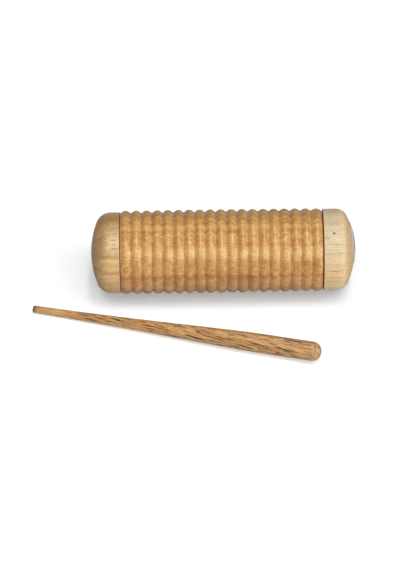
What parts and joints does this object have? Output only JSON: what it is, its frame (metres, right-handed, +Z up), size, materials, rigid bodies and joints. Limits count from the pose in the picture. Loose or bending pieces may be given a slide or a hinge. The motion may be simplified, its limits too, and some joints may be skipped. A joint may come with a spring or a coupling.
{
  "type": "guiro shaker",
  "caption": "Hand-held wooden guiro shaker: a ribbed hollow tube closed by domed end caps, with loose rattle balls sealed inside and a separate tapered scraper stick.",
  "frame": {"origin": "on the table, under the crest of the tube's middle rib", "axes": "+X along the tube's axis towards the labelled cap, +Z up from the table, -Y towards the scraper"},
  "size_m": [0.2142, 0.1059, 0.055],
  "materials": {
    "tube_wood": "golden brown hardwood, satin lacquer, fine pores along the tube",
    "cap_wood": "pale hardwood, satin lacquer, straight grain along the tube and end grain on the dome",
    "scraper_wood": "plain sanded hardwood with dark streaks along the stick",
    "label_paper": "blank grey sticker",
    "ball_steel": "plain steel shot"
  },
  "bodies": {
    "guiro": {"ribbed_tube": "tube_wood", "left_end_cap": "cap_wood", "right_end_cap": "cap_wood", "end_label": "label_paper"},
    "scraper": {"scraper_stick": "scraper_wood"},
    "ball_01": {"rattle_ball_01": "ball_steel"},
    "ball_02": {"rattle_ball_02": "ball_steel"},
    "ball_03": {"rattle_ball_03": "ball_steel"},
    "ball_04": {"rattle_ball_04": "ball_steel"},
    "ball_05": {"rattle_ball_05": "ball_steel"},
    "ball_06": {"rattle_ball_06": "ball_steel"},
    "ball_07": {"rattle_ball_07": "ball_steel"},
    "ball_08": {"rattle_ball_08": "ball_steel"},
    "ball_09": {"rattle_ball_09": "ball_steel"},
    "ball_10": {"rattle_ball_10": "ball_steel"},
    "ball_11": {"rattle_ball_11": "ball_steel"},
    "ball_12": {"rattle_ball_12": "ball_steel"},
    "ball_13": {"rattle_ball_13": "ball_steel"},
    "ball_14": {"rattle_ball_14": "ball_steel"},
    "ball_15": {"rattle_ball_15": "ball_steel"},
    "ball_16": {"rattle_ball_16": "ball_steel"},
    "ball_17": {"rattle_ball_17": "ball_steel"},
    "ball_18": {"rattle_ball_18": "ball_steel"},
    "ball_19": {"rattle_ball_19": "ball_steel"},
    "ball_20": {"rattle_ball_20": "ball_steel"}
  },
  "joints": [
    {"name": "scraper_lift", "type": "slide", "parent": "guiro", "child": "scraper", "axis": [0, 0, 1], "range_m": [0, 0.1]},
    {"name": "row_1_run", "type": "slide", "parent": "guiro", "child": "ball_01", "axis": [1, 0, 0], "range_m": [-0.0446, 0.0446]},
    {"name": "ball_02_run", "type": "slide", "parent": "guiro", "child": "ball_02", "axis": [1, 0, 0], "range_m": [-0.0446, 0.0446]},
    {"name": "ball_03_run", "type": "slide", "parent": "guiro", "child": "ball_03", "axis": [1, 0, 0], "range_m": [-0.0446, 0.0446]},
    {"name": "ball_04_run", "type": "slide", "parent": "guiro", "child": "ball_04", "axis": [1, 0, 0], "range_m": [-0.0446, 0.0446]},
    {"name": "row_2_run", "type": "slide", "parent": "guiro", "child": "ball_05", "axis": [1, 0, 0], "range_m": [-0.0446, 0.0446]},
    {"name": "ball_06_run", "type": "slide", "parent": "guiro", "child": "ball_06", "axis": [1, 0, 0], "range_m": [-0.0446, 0.0446]},
    {"name": "ball_07_run", "type": "slide", "parent": "guiro", "child": "ball_07", "axis": [1, 0, 0], "range_m": [-0.0446, 0.0446]},
    {"name": "ball_08_run", "type": "slide", "parent": "guiro", "child": "ball_08", "axis": [1, 0, 0], "range_m": [-0.0446, 0.0446]},
    {"name": "row_3_run", "type": "slide", "parent": "guiro", "child": "ball_09", "axis": [1, 0, 0], "range_m": [-0.0446, 0.0446]},
    {"name": "ball_10_run", "type": "slide", "parent": "guiro", "child": "ball_10", "axis": [1, 0, 0], "range_m": [-0.0446, 0.0446]},
    {"name": "ball_11_run", "type": "slide", "parent": "guiro", "child": "ball_11", "axis": [1, 0, 0], "range_m": [-0.0446, 0.0446]},
    {"name": "ball_12_run", "type": "slide", "parent": "guiro", "child": "ball_12", "axis": [1, 0, 0], "range_m": [-0.0446, 0.0446]},
    {"name": "row_4_run", "type": "slide", "parent": "guiro", "child": "ball_13", "axis": [1, 0, 0], "range_m": [-0.0446, 0.0446]},
    {"name": "ball_14_run", "type": "slide", "parent": "guiro", "child": "ball_14", "axis": [1, 0, 0], "range_m": [-0.0446, 0.0446]},
    {"name": "ball_15_run", "type": "slide", "parent": "guiro", "child": "ball_15", "axis": [1, 0, 0], "range_m": [-0.0446, 0.0446]},
    {"name": "ball_16_run", "type": "slide", "parent": "guiro", "child": "ball_16", "axis": [1, 0, 0], "range_m": [-0.0446, 0.0446]},
    {"name": "row_5_run", "type": "slide", "parent": "guiro", "child": "ball_17", "axis": [1, 0, 0], "range_m": [-0.0446, 0.0446]},
    {"name": "ball_18_run", "type": "slide", "parent": "guiro", "child": "ball_18", "axis": [1, 0, 0], "range_m": [-0.0446, 0.0446]},
    {"name": "ball_19_run", "type": "slide", "parent": "guiro", "child": "ball_19", "axis": [1, 0, 0], "range_m": [-0.0446, 0.0446]},
    {"name": "ball_20_run", "type": "slide", "parent": "guiro", "child": "ball_20", "axis": [1, 0, 0], "range_m": [-0.0446, 0.0446]}
  ],
  "couplings": [
    {"joint": "ball_02_run", "follows": "row_1_run", "ratio": 1},
    {"joint": "ball_03_run", "follows": "row_1_run", "ratio": 1},
    {"joint": "ball_04_run", "follows": "row_1_run", "ratio": 1},
    {"joint": "ball_06_run", "follows": "row_2_run", "ratio": 1},
    {"joint": "ball_07_run", "follows": "row_2_run", "ratio": 1},
    {"joint": "ball_08_run", "follows": "row_2_run", "ratio": 1},
    {"joint": "ball_10_run", "follows": "row_3_run", "ratio": 1},
    {"joint": "ball_11_run", "follows": "row_3_run", "ratio": 1},
    {"joint": "ball_12_run", "follows": "row_3_run", "ratio": 1},
    {"joint": "ball_14_run", "follows": "row_4_run", "ratio": 1},
    {"joint": "ball_15_run", "follows": "row_4_run", "ratio": 1},
    {"joint": "ball_16_run", "follows": "row_4_run", "ratio": 1},
    {"joint": "ball_18_run", "follows": "row_5_run", "ratio": 1},
    {"joint": "ball_19_run", "follows": "row_5_run", "ratio": 1},
    {"joint": "ball_20_run", "follows": "row_5_run", "ratio": 1}
  ]
}
